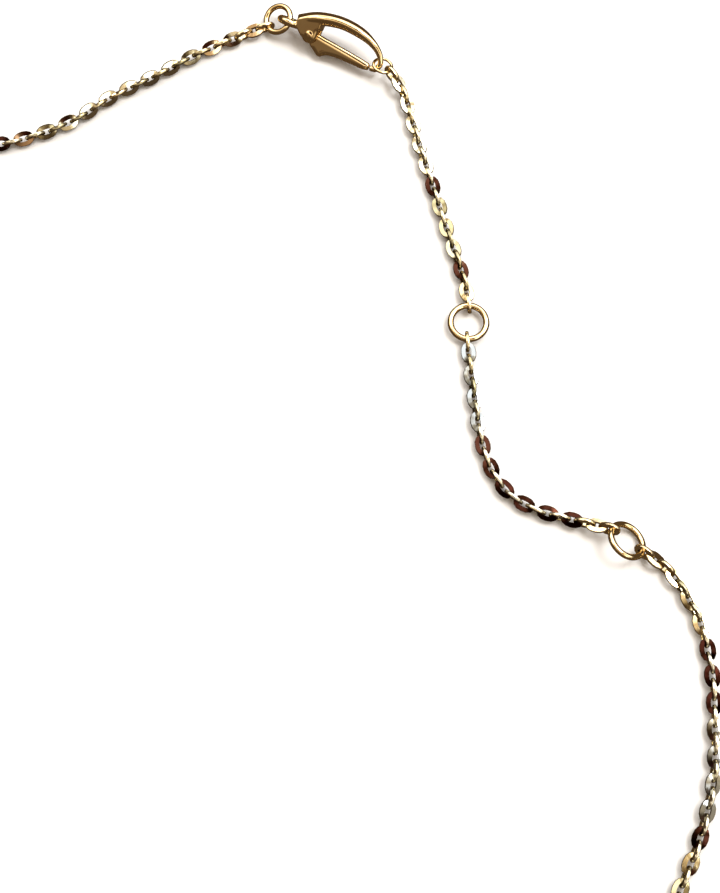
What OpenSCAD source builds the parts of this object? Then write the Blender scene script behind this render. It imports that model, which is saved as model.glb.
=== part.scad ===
// A fine cable-chain necklace, laid down in one closed loop. Lengths are in millimetres, +Z is up and
// Z = 0 is the surface that it lies on.

/* [Chain] */
// Length of one oval link, outside
link_l = 1.7; // [1.4:0.05:2.2]
// Width of one oval link, outside
link_w = 1.24; // [1.2:0.02:1.5]
// Width of the flat band that a link is made of
link_band = 0.22; // [0.2:0.01:0.23]
// Thickness of that band
link_t = 0.28; // [0.2:0.01:0.32]
// Free play between one link and the next
link_play = 0.23; // [0.2:0.01:0.27]
// Free play between a link and the ring or loop that it hooks
hook_play = 0.15; // [0.12:0.01:0.18]
// Links built one by one on the left side, from the clasp
near_left = 42; // [20:1:60]
// Links built one by one on the right side, from the far sizing ring
near_right = 46; // [20:1:60]
// Distance between two sections of the plain run that goes on from them
run_step = 3; // [2.8:0.1:4]

/* [Rings] */
// Outer diameter of the two sizing rings
sizing_ring_od = 3.5; // [3.2:0.1:4.2]
// Wire of the two sizing rings
sizing_ring_wire = 0.52; // [0.4:0.01:0.54]
// Outer diameter of the ring on the clasp's eyelet
clasp_ring_od = 2.85; // [2.7:0.05:3.2]
// Wire of the ring on the clasp's eyelet
clasp_ring_wire = 0.5; // [0.4:0.01:0.52]
// How far that ring's wire is pulled off the middle of the eyelet's hole
clasp_ring_pull = 0.06; // [0:0.01:0.08]
// Outer diameter of the ring that the clasp hooks
end_ring_od = 1.9; // [1.85:0.05:2.2]
// Wire of the ring that the clasp hooks
end_ring_wire = 0.25; // [0.2:0.01:0.28]

/* [Clasp] */
// Length of the clasp, from the eyelet's centre to the outside of its hook
clasp_l = 9.4; // [9:0.1:10]
// Width of the clasp over its spine and its lever
clasp_w = 3.4; // [3.2:0.1:3.8]
// Thickness of the clasp
clasp_t = 1.8; // [1.6:0.1:2.2]
// How far the clasp leans over, with its spine raised
clasp_lean = 35; // [30:1:40]
// Hole of the eyelet
eyelet_hole = 0.95; // [0.85:0.05:1.1]
// Wire of the eyelet
eyelet_wire = 0.68; // [0.55:0.01:0.7]
// Thickness of the lever
lever_t = 0.7; // [0.6:0.05:0.8]
// Play between the lever and the cheeks on each side of it
lever_play = 0.06; // [0.05:0.01:0.1]
// Diameter of the rivet that the lever turns on
rivet_d = 0.5; // [0.4:0.05:0.6]
// Radial play of the lever on its rivet
rivet_play = 0.03; // [0.02:0.01:0.05]
// Metal round the rivet's hole in the lever
boss_wall = 0.32; // [0.25:0.01:0.4]
// Gap between the lever's end and the hook's tip
tip_gap = 0.1; // [0.08:0.01:0.15]

/* [Stations] */
// Girdle diameter of each stone
stone_d = 3.35; // [3:0.05:3.6]
// Wall of the bezel outside the girdle
bezel_wall = 0.35; // [0.3:0.05:0.5]
// Play round the stone in its bezel
stone_play = 0.04; // [0.03:0.01:0.06]
// How far the bezel's lip reaches in over the girdle
bezel_lip = 0.14; // [0.1:0.01:0.2]
// Outer diameter of the loop on each side of a bezel
loop_od = 1.5; // [1.4:0.05:1.8]
// Wire of that loop
loop_wire = 0.3; // [0.28:0.01:0.35]

/* [Hidden] */
$fn = 48;
gold = "#d9b15c";
pale_gold = "#e3c27a";
clear_stone = "#eef4f8";

// The chain's centre line runs this high: links then stand on the surface, whichever way they turn
chain_z = norm([link_w, link_t]) / 2;
// Distance from one link's centre to the next
link_pitch = link_l - 2 * link_band - link_play;

// Where the clasp lies: its eyelet's centre, and the way its hook points
clasp_at = [40, 71.55, 1.5];
clasp_heading = -25.3;
function clasp_point(p) = let(
    x = p[0],
    y = p[1] * cos(clasp_lean) - p[2] * sin(clasp_lean),
    z = p[1] * sin(clasp_lean) + p[2] * cos(clasp_lean)
) clasp_at + [
    x * cos(clasp_heading) - y * sin(clasp_heading),
    x * sin(clasp_heading) + y * cos(clasp_heading),
    z
];

// A ring is its outer diameter, its wire, its centre, and the lean of its axis: how far, and which way
clasp_ring_way = [-1.05, 0.51, -0.35];
clasp_ring_reach = (clasp_ring_od - clasp_ring_wire) / 2 + clasp_ring_pull;
clasp_ring_at = clasp_at + clasp_ring_reach * clasp_ring_way / norm(clasp_ring_way);
clasp_ring_is = [clasp_ring_od, clasp_ring_wire, clasp_ring_at, [25, 205]];
end_ring_is = [end_ring_od, end_ring_wire, clasp_point([0.98 * clasp_l, -0.12 * clasp_w, -0.02 * clasp_t]), [18, 50]];
near_ring_is = [sizing_ring_od, sizing_ring_wire, [55.25, 43.5, chain_z], [0, 0]];
far_ring_is = [sizing_ring_od, sizing_ring_wire, [67.37, 24.8, 1.15], [32, 36]];
function leaning(lean, v) = let(
    x = v[0] * cos(lean[0]) + v[2] * sin(lean[0]),
    z = v[2] * cos(lean[0]) - v[0] * sin(lean[0])
) [x * cos(lean[1]) - v[1] * sin(lean[1]), x * sin(lean[1]) + v[1] * cos(lean[1]), z];
// A hook is where a link holds a ring: the place on the wire's centre line, the wire's own direction
// there, how far the link's centre stands from that place, and the points that the chain has to run
// through first, if any
function hook(ring, side) = let(a = side - ring[3][1]) [
    ring[2] + (ring[0] - ring[1]) / 2 * leaning(ring[3], [cos(a), sin(a), 0]),
    leaning(ring[3], [-sin(a), cos(a), 0]),
    link_l / 2 - link_band - ring[1] / 2 - hook_play,
    []
];

// The route of the chain, in the order in which it is strung. A point is x, y, height above the
// chain's usual line, and the turn of its links about that line in degrees.
route = [
    // from the clasp's ring to the left station
    [
        [36.5, 71.1, 0, -10], [34.9, 70.35, 0, -20], [33.1, 69.5, 0, -30], [31.2, 68.5, 0, -38],
        [28, 66.6, 0, -44], [24.4, 64.6, 0, -44], [21, 62.2, 0, -38], [17.25, 60.6, 0, -31],
        [13.2, 59.8, 0, -25], [-0.3, 58.5, 0, -5],
        [-11.3, 57.4, 0, 0], [-21.3, 56, 0, 0], [-31.3, 53.2, 0, 0], [-41.3, 48.4, 0, 0], [-50.3, 42.2, 0, 0],
        [-58.3, 34.2, 0, 0], [-64.8, 25, 0, 0], [-69.3, 14.9, 0, 0]
    ],
    // from the left station to the centre one
    [[-73.4, -8.4, 0, 0], [-71.9, -21.3, 0, 0], [-67.8, -33.6, 0, 0]],
    // from the centre station to the right one
    [[-52.4, -54.9, 0, 0], [-41.1, -63.2, 0, 0], [-29.3, -68.6, 0, 0]],
    // from the right station to the far sizing ring
    [
        [-3.2, -71.7, 0, 0], [13.1, -68.9, 0, 0], [26, -63.2, 0, 0], [36.1, -56.1, 0, 0],
        [45, -46.6, 0, 0], [51.7, -35.7, 0, 0], [57.8, -24.4, 0, 0], [63.9, -13.1, 0, 0],
        [67.5, -6.6, 0, 0], [70.3, -1, 0, -8], [71.9, 2.5, 0, -2], [73.1, 6.6, 0, 0],
        [73.45, 10.5, 0, -10], [73.5, 14.6, 0, -14], [72.9, 18.2, 0, -5], [71.95, 20.45, 0, 2],
        [71.2, 21.7, 0.03, 8], [70.15, 22.95, 0.08, 12]
    ],
    // from the far sizing ring to the near one
    [
        [64.9, 26.1, 0.4, 12], [63.5, 26.5, 0.12, 0], [61.7, 27, 0, -10], [59.8, 27.7, 0, -15],
        [58.2, 28.8, 0, -15], [57, 30.5, 0, -13], [56.2, 32.7, 0, -9], [55.6, 36.6, 0, 0]
    ],
    // from the near sizing ring to the ring that the clasp hooks
    [
        [54.9, 47.5, 0, -6], [53.75, 51.4, 0, -10], [52.6, 55.5, 0, -10], [51.5, 59.3, 0, -3],
        [50.5, 63.2, 0, 3], [50.1, 64.6, 0.1, 8], [49.6, 65.7, 0.35, 14]
    ]
];
station_points = [[-72.2, 5], [-61.1, -45.3], [-16.7, -71.3]];

// A bezel is as deep as its stone, which stands on shares of its diameter
crown_h = 0.15 * stone_d;
pavilion_h = 0.43 * stone_d;
girdle_h = 0.03 * stone_d;
// How wide the table and the corners halfway up the crown and down the pavilion are, as shares of the girdle
table_share = 0.57;
crown_share = 0.82;
pavilion_share = 0.2;
// How far up the crown and down the pavilion those corners stand, as shares of its height
crown_rise = 0.52;
pavilion_drop = 0.78;
// How far the culet stays above the surface that the station stands on
culet_z = 0.15;
girdle_z = culet_z + pavilion_h;
bezel_r = stone_d / 2 + stone_play + bezel_wall;
// The cup narrows to this share of its radius at its foot
foot_share = 0.8;
bezel_base_r = foot_share * bezel_r;
// Height of the rim above the girdle, its slanted edge, the ledge under the girdle, and the cup's floor
rim_h = 0.36;
rim_slant = 0.15;
seat_ledge = 0.2;
cup_floor = 0.35;
bezel_h = girdle_z + girdle_h + rim_h;
loop_r = (loop_od - loop_wire) / 2;
loop_x = bezel_base_r + (bezel_r - bezel_base_r) * chain_z / bezel_h + loop_r;

// A station faces along the chain: its heading is the one from the route before it to the route after
station_headings = [
    for (i = [0:2])
        let(before = route[i], d = route[i + 1][0] - before[len(before) - 1]) atan2(d[1], d[0])
];
// A chain leaves a station's loop in a straight line for this far
lead = 3;
function station_hook(i, side) = let(
    h = station_headings[i],
    out = side * [cos(h), sin(h), 0],
    p = [station_points[i][0], station_points[i][1], chain_z] + (loop_x + loop_r) * out
) [p, [-sin(h), cos(h), 0], link_l / 2 - link_band - loop_wire / 2 - hook_play, [concat(p + lead * out, [0])]];

// A smooth curve through points, by the Catmull-Rom rule, and its length so far at each of its steps
function curve_value(a, b, c, d, t) =
    0.5 * (2 * b + (c - a) * t + (2 * a - 5 * b + 4 * c - d) * t * t + (3 * b - a - 3 * c + d) * t * t * t);
function curve(p, steps) = let(n = len(p) - 1) concat(
    [
        for (i = [0:n - 1], k = [0:steps - 1])
            curve_value(
                i > 0 ? p[i - 1] : 2 * p[0] - p[1], p[i], p[i + 1],
                i < n - 1 ? p[i + 2] : 2 * p[n] - p[n - 1], k / steps
            )
    ],
    [p[n]]
);
function place(p) = [p[0], p[1], p[2]];
function lengths(c) = [
    for (i = 0, s = 0; i < len(c); i = i + 1, s = i < len(c) ? s + norm(place(c[i]) - place(c[i - 1])) : s) s
];
function heading(d) = atan2(d[1], d[0]);
function climb(d) = asin(d[2] / norm(d));

// The turn that sets an upright link across a wire, for a chain that runs along d
function turn_across(d, wire) = let(
    h = heading(d),
    e = climb(d),
    a = atan2(wire * [-sin(e) * cos(h), -sin(e) * sin(h), cos(e)], wire * [-sin(h), cos(h), 0])
) a > 90 ? a - 180 : a < -90 ? a + 180 : a;

// A track is a stretch of chain between two hooks: four tables of length against x, y, z and turn, and
// where its first and its last link stand
route_steps = 10;
function strung(from, points, to) = let(
    p = concat(from[3], [for (q = points) [q[0], q[1], chain_z + q[2], q[3]]], to[3]),
    n = len(p) - 1,
    first = concat(from[0], [turn_across(place(p[0]) - from[0], from[1])]),
    last = concat(to[0], [turn_across(to[0] - place(p[n]), to[1])]),
    c = curve(concat([first], p, [last]), route_steps),
    s = lengths(c)
) [
    [for (k = [0:3]) [for (i = [0:len(c) - 1]) [s[i], c[i][k]]]],
    from[2],
    s[len(s) - 1] - to[2]
];
function at(t, s) = [lookup(s, t[0][0]), lookup(s, t[0][1]), lookup(s, t[0][2])];
function way(t, s) = at(t, s + link_pitch / 2) - at(t, s - link_pitch / 2);
// Both end links stand upright, so a stretch holds an odd number of links
function link_steps(t) = 2 * ceil((t[2] - t[1]) / link_pitch / 2);
function step_l(t) = (t[2] - t[1]) / link_steps(t);

left_track = strung(hook(clasp_ring_is, 204), route[0], station_hook(0, -1));
left_station_track = strung(station_hook(0, 1), route[1], station_hook(1, -1));
right_station_track = strung(station_hook(1, 1), route[2], station_hook(2, -1));
right_track = strung(station_hook(2, 1), route[3], hook(far_ring_is, -28));
far_extender_track = strung(hook(far_ring_is, 147), route[4], hook(near_ring_is, -96));
near_extender_track = strung(hook(near_ring_is, 88), route[5], hook(end_ring_is, -45));

// The plan of one link: a ring with straight sides and round ends
module stadium(l, w) {
    square([l - w, w], center = true);
    for (side = [-1, 1])
        translate([side * (l - w) / 2, 0]) circle(d = w);
}

module link() {
    linear_extrude(link_t, center = true) difference() {
        stadium(link_l, link_w);
        stadium(link_l - 2 * link_band, link_w - 2 * link_band);
    }
}

// Links first to last of a stretch, turned by a quarter from one to the next
module links(t, first, last) {
    for (i = [first:last]) {
        s = t[1] + i * step_l(t);
        d = way(t, s);
        upright = i % 2 == 0 ? 90 : 0;
        translate(at(t, s)) rotate([upright + lookup(s, t[0][3]), -climb(d), heading(d)]) link();
    }
}

// A plain round run in place of links, with eight sides and a section every few widths
run_sides = 8;
module run(t, start, end) {
    rings = ceil((end - start) / run_step);
    r = link_w / 2 / cos(180 / run_sides);
    points = [
        for (i = [0:rings])
            let(s = start + (end - start) * i / rings, p = at(t, s), h = heading(way(t, s)))
                for (k = [0:run_sides - 1])
                    let(a = (k + 0.5) * 360 / run_sides)
                        p + r * [-cos(a) * sin(h), cos(a) * cos(h), sin(a)]
    ];
    polyhedron(points, sleeve(rings, run_sides), convexity = 4);
}

// The faces of a sleeve from section to section, closed at both ends
function sleeve(last, n) = concat(
    [
        for (i = [0:last - 1], k = [0:n - 1])
            let(a = i * n + k, b = i * n + (k + 1) % n) each [[a, a + n, b + n], [a, b + n, b]]
    ],
    [[for (k = [0:n - 1]) k]],
    [[for (k = [n - 1:-1:0]) last * n + k]]
);

module wire_ring(od, wire) {
    rotate_extrude() translate([(od - wire) / 2, 0]) circle(d = wire, $fn = 24);
}

module placed_ring(ring) {
    translate(ring[2]) rotate([0, ring[3][0], ring[3][1]]) wire_ring(ring[0], ring[1]);
}

// The clasp is drawn flat, with its eyelet's centre at the origin and its hook along +X
module on_clasp() {
    translate(clasp_at) rotate([0, 0, clasp_heading]) rotate([clasp_lean, 0, 0]) children();
}

// Sections of the spine and hook: place along and across the clasp, width across and thickness, as
// shares of the clasp's length, width, width and thickness
spine_sections = [
    [0.085, 0.12, 0.34, 0.8],
    [0.255, 0.35, 0.35, 1],
    [0.468, 0.47, 0.32, 0.95],
    [0.67, 0.43, 0.29, 0.8],
    [0.815, 0.3, 0.215, 0.45],
    [0.91, 0.12, 0.17, 0.28],
    [0.953, -0.09, 0.155, 0.24],
    [0.93, -0.27, 0.15, 0.23],
    [0.87, -0.3, 0.145, 0.23]
];
spine_sides = 16;
spine_curve = curve([
    for (s = spine_sections) [s[0] * clasp_l, s[1] * clasp_w, s[2] * clasp_w, s[3] * clasp_t]
], 4);
spine_last = len(spine_curve) - 1;

module spine() {
    points = [
        for (i = [0:spine_last])
            let(
                c = spine_curve[i],
                h = heading(spine_curve[min(i + 1, spine_last)] - spine_curve[max(i - 1, 0)])
            )
                for (k = [0:spine_sides - 1])
                    let(a = k * 360 / spine_sides, w = c[2] / 2 * cos(a))
                        [c[0] - w * sin(h), c[1] + w * cos(h), c[3] / 2 * sin(a)]
    ];
    polyhedron(points, sleeve(spine_last, spine_sides), convexity = 4);
}

// The lever's pivot, and the cheeks, whose outline goes round the boss and two more discs: each disc is
// its place along and across the clasp and its radius, as shares of the length, width and width
pivot = [0.235 * clasp_l, -0.1 * clasp_w];
cheek_discs = [[0.135, 0.08, 0.17], [0.27, 0.33, 0.13]];
cheek_margin = 0.12;
cheek_t = 0.88 * clasp_t;
boss_r = rivet_d / 2 + rivet_play + boss_wall;
slot_h = lever_t + 2 * lever_play;

// The two cheeks are one block with a slot, which is open on the lever's side
module cheeks() {
    difference() {
        linear_extrude(cheek_t, center = true) hull() {
            translate(pivot) circle(boss_r + cheek_margin);
            for (d = cheek_discs)
                translate([d[0] * clasp_l, d[1] * clasp_w]) circle(d[2] * clasp_w);
        }
        translate(pivot) linear_extrude(slot_h, center = true) {
            circle(boss_r + lever_play);
            translate([-boss_r - lever_play, -clasp_w]) square([clasp_w, clasp_w]);
            square([clasp_w, boss_r + lever_play]);
        }
    }
}

module eyelet() {
    rotate([90, 0, 0]) rotate_extrude() translate([(eyelet_hole + eyelet_wire) / 2, 0])
        circle(d = eyelet_wire, $fn = 24);
}

module clasp_body() {
    color(gold) on_clasp() {
        eyelet();
        cheeks();
        spine();
        translate(pivot) cylinder(d = rivet_d, h = cheek_t, center = true);
    }
}

// The lever's edges beyond its boss: place along the clasp, then its inner and its outer edge across
// it, as shares of the clasp's length, width and width
lever_edges = [
    [0.3, 0, -0.42],
    [0.37, -0.03, -0.53],
    [0.43, -0.05, -0.43],
    [0.55, -0.09, -0.385],
    [0.7, -0.14, -0.395],
    [0.8, -0.18, -0.4]
];
boss_step = 15;

module lever_plan() {
    tip = spine_curve[spine_last];
    nose_x = tip[0] - tip_gap;
    inner = [for (e = lever_edges) [e[0] * clasp_l, e[1] * clasp_w]];
    outer = [for (e = lever_edges) [e[0] * clasp_l, e[2] * clasp_w]];
    boss = [for (a = [90:boss_step:270]) pivot + boss_r * [cos(a), sin(a)]];
    nose = [[nose_x, tip[1] - tip[2] / 2], [nose_x, tip[1] + tip[2] / 2]];
    back = curve(concat(nose, [for (i = [len(inner) - 1:-1:0]) inner[i]]), 4);
    polygon(concat(boss, curve(outer, 4), back));
}

module clasp_lever() {
    color(pale_gold) on_clasp() difference() {
        linear_extrude(lever_t, center = true) lever_plan();
        translate(pivot) cylinder(r = rivet_d / 2 + rivet_play, h = 2 * lever_t, center = true);
    }
}

module clasp_ring() {
    color(gold) placed_ring(clasp_ring_is);
}

module end_ring() {
    color(gold) placed_ring(end_ring_is);
}

module near_sizing_ring() {
    color(gold) placed_ring(near_ring_is);
}

module far_sizing_ring() {
    color(gold) placed_ring(far_ring_is);
}

module near_extender_chain() {
    color(pale_gold) links(near_extender_track, 0, link_steps(near_extender_track));
}

module far_extender_chain() {
    color(pale_gold) links(far_extender_track, 0, link_steps(far_extender_track));
}

module left_chain() {
    color(pale_gold) links(left_track, 0, near_left - 1);
}

module left_chain_run() {
    start = left_track[1] + (near_left - 1) * step_l(left_track) + link_l / 2 + hook_play;
    end = left_track[2] - loop_wire - 2 * hook_play;
    color(pale_gold) run(left_track, start, end);
}

module right_chain() {
    last = link_steps(right_track);
    color(pale_gold) links(right_track, last - near_right + 1, last);
}

module right_chain_run() {
    start = right_track[1] + loop_wire + 2 * hook_play;
    end = right_track[2] - (near_right - 1) * step_l(right_track) - link_l / 2 - hook_play;
    color(pale_gold) run(right_track, start, end);
}

module left_station_chain() {
    color(pale_gold) links(left_station_track, 0, link_steps(left_station_track));
}

module right_station_chain() {
    color(pale_gold) links(right_station_track, 0, link_steps(right_station_track));
}

// A station stands on the surface, with its two loops in line with the chain on each side
module on_station(i) {
    translate(station_points[i]) rotate([0, 0, station_headings[i]]) children();
}

// The cup's seat and lip keep clear of the stone, whose crown and pavilion slope away from its girdle
crown_slope = crown_rise * crown_h / ((1 - crown_share) * stone_d / 2);
pavilion_slope = pavilion_h / (stone_d / 2);
module bezel_cup() {
    seat_r = stone_d / 2 - seat_ledge;
    hole_r = seat_r / 2;
    stone_r = stone_d / 2 + stone_play;
    lip_r = stone_d / 2 - bezel_lip;
    crown_z = girdle_z + girdle_h;
    seat_z = girdle_z - 2 * stone_play;
    rotate_extrude() polygon([
        [hole_r, 0],
        [bezel_base_r, 0],
        [bezel_r, bezel_h - rim_slant],
        [bezel_r - rim_slant, bezel_h],
        [lip_r, bezel_h],
        [lip_r, crown_z + bezel_lip * crown_slope + 2 * stone_play],
        [stone_r, crown_z + 2 * stone_play],
        [stone_r, seat_z],
        [seat_r, seat_z - (stone_r - seat_r) * pavilion_slope],
        [hole_r, cup_floor]
    ]);
}

module bezel(i) {
    color(gold) on_station(i) {
        bezel_cup();
        for (side = [-1, 1])
            translate([side * loop_x, 0, chain_z]) wire_ring(loop_od, loop_wire);
    }
}

// A round brilliant: rings of corners from the table down to the culet
module brilliant() {
    r = stone_d / 2;
    top = girdle_z + girdle_h;
    function corners(n, radius, z, turn) = [
        for (k = [0:n - 1]) let(a = 360 / n * (k + turn)) [radius * cos(a), radius * sin(a), z]
    ];
    table = corners(8, r * table_share, top + crown_h, 0.5);
    crown = corners(8, r * crown_share, top + crown_h * crown_rise, 0);
    girdle_top = corners(16, r, top, 0);
    girdle_low = corners(16, r, girdle_z, 0);
    pavilion = corners(8, r * pavilion_share, girdle_z - pavilion_h * pavilion_drop, 0);
    culet = [[0, 0, culet_z]];
    points = concat(table, crown, girdle_top, girdle_low, pavilion, culet);
    t = 0;
    c = 8;
    g = 16;
    l = 32;
    p = 48;
    faces = concat(
        [[for (k = [7:-1:0]) t + k]],
        [for (k = [0:7]) [t + k, t + (k + 1) % 8, c + (k + 1) % 8]],
        [for (k = [0:7]) [t + k, c + (k + 1) % 8, g + 2 * k + 1]],
        [for (k = [0:7]) [t + k, g + 2 * k + 1, c + k]],
        [for (k = [0:7]) [c + k, g + 2 * k + 1, g + 2 * k]],
        [for (k = [0:7]) [c + (k + 1) % 8, g + (2 * k + 2) % 16, g + 2 * k + 1]],
        [for (k = [0:15]) [g + k, g + (k + 1) % 16, l + (k + 1) % 16, l + k]],
        [for (k = [0:7]) [l + 2 * k, l + 2 * k + 1, p + k]],
        [for (k = [0:7]) [l + 2 * k + 1, l + (2 * k + 2) % 16, p + (k + 1) % 8]],
        [for (k = [0:7]) [p + k, l + 2 * k + 1, p + (k + 1) % 8]],
        [for (k = [0:7]) [p + k, p + (k + 1) % 8, p + 8]]
    );
    polyhedron(points, faces, convexity = 2);
}

module stone(i) {
    color(clear_stone) on_station(i) brilliant();
}

clasp_body();
clasp_lever();
clasp_ring();
end_ring();
near_sizing_ring();
far_sizing_ring();
near_extender_chain();
far_extender_chain();
left_chain();
left_chain_run();
right_chain();
right_chain_run();
left_station_chain();
right_station_chain();
bezel(0);  // left_bezel
bezel(1);  // centre_bezel
bezel(2);  // right_bezel
stone(0);  // left_stone
stone(1);  // centre_stone
stone(2);  // right_stone
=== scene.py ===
# Fine gold station necklace, laid down in one closed loop: the looks of its pieces.
# Sizes are in millimetres until a mesh is made, and angles are in degrees.
import math
import bpy
import numpy as np
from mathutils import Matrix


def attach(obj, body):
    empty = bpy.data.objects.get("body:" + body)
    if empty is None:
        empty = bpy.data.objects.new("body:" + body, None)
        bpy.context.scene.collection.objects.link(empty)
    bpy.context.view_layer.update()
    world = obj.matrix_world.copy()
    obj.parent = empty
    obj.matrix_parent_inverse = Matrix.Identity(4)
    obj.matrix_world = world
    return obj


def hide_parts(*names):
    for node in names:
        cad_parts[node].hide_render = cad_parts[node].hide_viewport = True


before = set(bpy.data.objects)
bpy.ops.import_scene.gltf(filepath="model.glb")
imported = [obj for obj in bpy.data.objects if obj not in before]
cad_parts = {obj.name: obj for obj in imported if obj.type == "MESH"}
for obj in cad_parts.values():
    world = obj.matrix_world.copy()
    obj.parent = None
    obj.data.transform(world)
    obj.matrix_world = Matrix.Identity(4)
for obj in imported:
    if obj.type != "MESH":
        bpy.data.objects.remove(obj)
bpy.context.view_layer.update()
scene = bpy.context.scene
mm = 0.001
print("frame:", len(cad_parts), "nodes")

# the camera's place and its clipping distances are in metres
cameraView = {
    "place": (0.0462, 0.00203, 0.10766), "tilt": 16.0, "lens": 55.23, "sensor": 36.0,
    "nearest": 0.005, "farthest": 20.0
}
cameraData = bpy.data.cameras.new("photoCamera")
cameraData.lens = cameraView["lens"]
cameraData.sensor_width = cameraView["sensor"]
cameraData.clip_start = cameraView["nearest"]
cameraData.clip_end = cameraView["farthest"]
photoCamera = bpy.data.objects.new("photoCamera", cameraData)
photoCamera.location = cameraView["place"]
photoCamera.rotation_euler = (math.radians(cameraView["tilt"]), 0, 0)
scene.collection.objects.link(photoCamera)
scene.camera = photoCamera
print("camera: set")


class Signal:
    # wraps a number socket: sums, products and powers of signals add Math nodes
    def __init__(self, shader, socket):
        self.shader = shader
        self.socket = socket

    def math(self, operation, first, second):
        made = self.shader.node("ShaderNodeMath", {"operation": operation}, {0: first, 1: second})
        return made.signal(0)

    def __add__(self, other):
        return self.math("ADD", self, other)

    def __radd__(self, other):
        return self.math("ADD", other, self)

    def __sub__(self, other):
        return self.math("SUBTRACT", self, other)

    def __mul__(self, other):
        return self.math("MULTIPLY", self, other)

    def __truediv__(self, other):
        return self.math("DIVIDE", self, other)

    def __pow__(self, other):
        return self.math("POWER", self, other)


class Made:
    # a node that has just been made, with its outputs at hand
    def __init__(self, shader, inner):
        self.shader = shader
        self.inner = inner

    def socket(self, name):
        return self.inner.outputs[name]

    def signal(self, name):
        return Signal(self.shader, self.socket(name))


class Shader:
    # fills one node tree
    def __init__(self, tree):
        self.tree = tree
        tree.nodes.clear()

    def node(self, kind, settings=None, sockets=None):
        # a new node; each of its sockets takes a value, another node's socket or a signal
        made = self.tree.nodes.new(kind)
        for name, value in (settings or {}).items():
            setattr(made, name, value)
        for name, value in (sockets or {}).items():
            if isinstance(value, Signal):
                value = value.socket
            if isinstance(value, bpy.types.NodeSocket):
                self.tree.links.new(value, made.inputs[name])
            else:
                made.inputs[name].default_value = value
        return Made(self, made)

    def noise(self, place, scale, detail, roughness):
        return self.node("ShaderNodeTexNoise", {}, {
            "Vector": place, "Scale": scale, "Detail": detail, "Roughness": roughness
        }).signal("Fac")

    def attribute(self, name):
        return self.node("ShaderNodeAttribute", {"attribute_name": name}).signal("Fac")

    def ramp(self, stops, value):
        # the colour found at a value between stops of place and colour
        made = self.node("ShaderNodeValToRGB", {}, {0: value})
        elements = made.inner.color_ramp.elements
        while len(elements) < len(stops):
            elements.new(0.5)
        for element, (place, colour) in zip(elements, stops):
            element.position = place
            element.color = (*colour, 1)
        return made.socket("Color")

    def eased(self, value, span, least=0.0):
        # a smooth rise from the least share to 1 as the value crosses the span
        return self.node("ShaderNodeMapRange", {"interpolation_type": "SMOOTHSTEP"}, {
            "Value": value, "From Min": span[0], "From Max": span[1], "To Min": least
        }).signal("Result")

    def cover(self, kind, sockets, output="ShaderNodeOutputMaterial"):
        # the surface of a material or a world, joined to its output
        surface = self.node(kind, {}, sockets)
        self.node(output, {}, {"Surface": surface.socket(0)})


def newMaterial(name):
    material = bpy.data.materials.new(name)
    material.use_nodes = True
    return material, Shader(material.node_tree)


goldGrain = {
    "cloudDetail": 3.0, "cloudRoughness": 0.55, "hairDetail": 4.0, "hairRoughness": 0.7,
    "hairSquash": (1.0, 0.22, 0.6), "hairTurn": (0.3, 0.2, 0.7), "dentDetail": 1.0, "dentRoughness": 0.4
}


def goldFinish(name, look):
    # polished gold: cloudy tone, fine hairlines and small dents; a chain's links also differ in tone, a
    # little at random and much more by painted reflections
    material, shader = newMaterial(name)
    place = shader.node("ShaderNodeTexCoord").socket("Object")
    cloud = shader.noise(place, look["cloudScale"], goldGrain["cloudDetail"], goldGrain["cloudRoughness"])
    tone = 0.5 + (cloud - 0.5) * look["cloud"]
    # the link attribute holds a small random tone and painted reflections, link by link
    if look["linkToneAndReflection"] > 0:
        tone = tone + (shader.attribute("linkToneAndReflection") - 0.5) * look["linkToneAndReflection"]
    stretched = shader.node("ShaderNodeMapping", {"vector_type": "POINT"}, {
        "Vector": place, "Scale": goldGrain["hairSquash"], "Rotation": goldGrain["hairTurn"]
    }).socket("Vector")
    hairs = shader.noise(stretched, look["hairScale"], goldGrain["hairDetail"], goldGrain["hairRoughness"])
    dents = shader.noise(place, look["dentScale"], goldGrain["dentDetail"], goldGrain["dentRoughness"])
    bump = shader.node("ShaderNodeBump", {}, {
        "Strength": look["bump"], "Distance": look["bumpDepth"], "Height": hairs * look["hairs"] + dents
    }).socket("Normal")
    roughness = look["roughness"] + (hairs - 0.5) * look["roughnessSpread"]
    if look["rimRoughness"] > 0:
        roughness = roughness + shader.attribute("rim") * look["rimRoughness"]
    shader.cover("ShaderNodeBsdfPrincipled", {
        "Base Color": shader.ramp(look["colours"], tone), "Metallic": 1.0, "Roughness": roughness,
        "Normal": bump
    })
    return material


def newObject(name, points, faces, material=None):
    # one mesh object, put in the scene
    mesh = bpy.data.meshes.new(name)
    mesh.from_pydata(points.tolist(), [], [list(face) for face in faces])
    if material:
        mesh.materials.append(material)
    made = bpy.data.objects.new(name, mesh)
    scene.collection.objects.link(made)
    return made


def makePiece(name, vertices, faces, material, body, nodes, sharp, values=None):
    # one visible piece from millimetre points; edges sharper than the angle stay crisp
    piece = newObject(name, vertices * mm, faces, material)
    mesh = piece.data
    mesh.update()
    mesh.shade_smooth()
    mesh.set_sharp_from_angle(angle=math.radians(sharp))
    for key, numbers in (values or {}).items():
        mesh.attributes.new(key, "FLOAT", "POINT").data.foreach_set("value", numbers.astype(np.float32))
    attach(piece, body)
    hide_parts(*nodes)


def cosine(angle):
    return np.cos(np.radians(angle))


def sine(angle):
    return np.sin(np.radians(angle))


def turnAbout(axis, angle):
    # the matrix of a turn about x, y or z; a row of angles gives a row of matrices
    own = "xyz".index(axis)
    first, second = (own + 1) % 3, (own + 2) % 3
    turn = np.zeros(np.shape(angle) + (3, 3))
    turn[..., own, own] = 1
    turn[..., first, first] = cosine(angle)
    turn[..., second, second] = cosine(angle)
    turn[..., second, first] = sine(angle)
    turn[..., first, second] = -sine(angle)
    return turn


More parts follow.
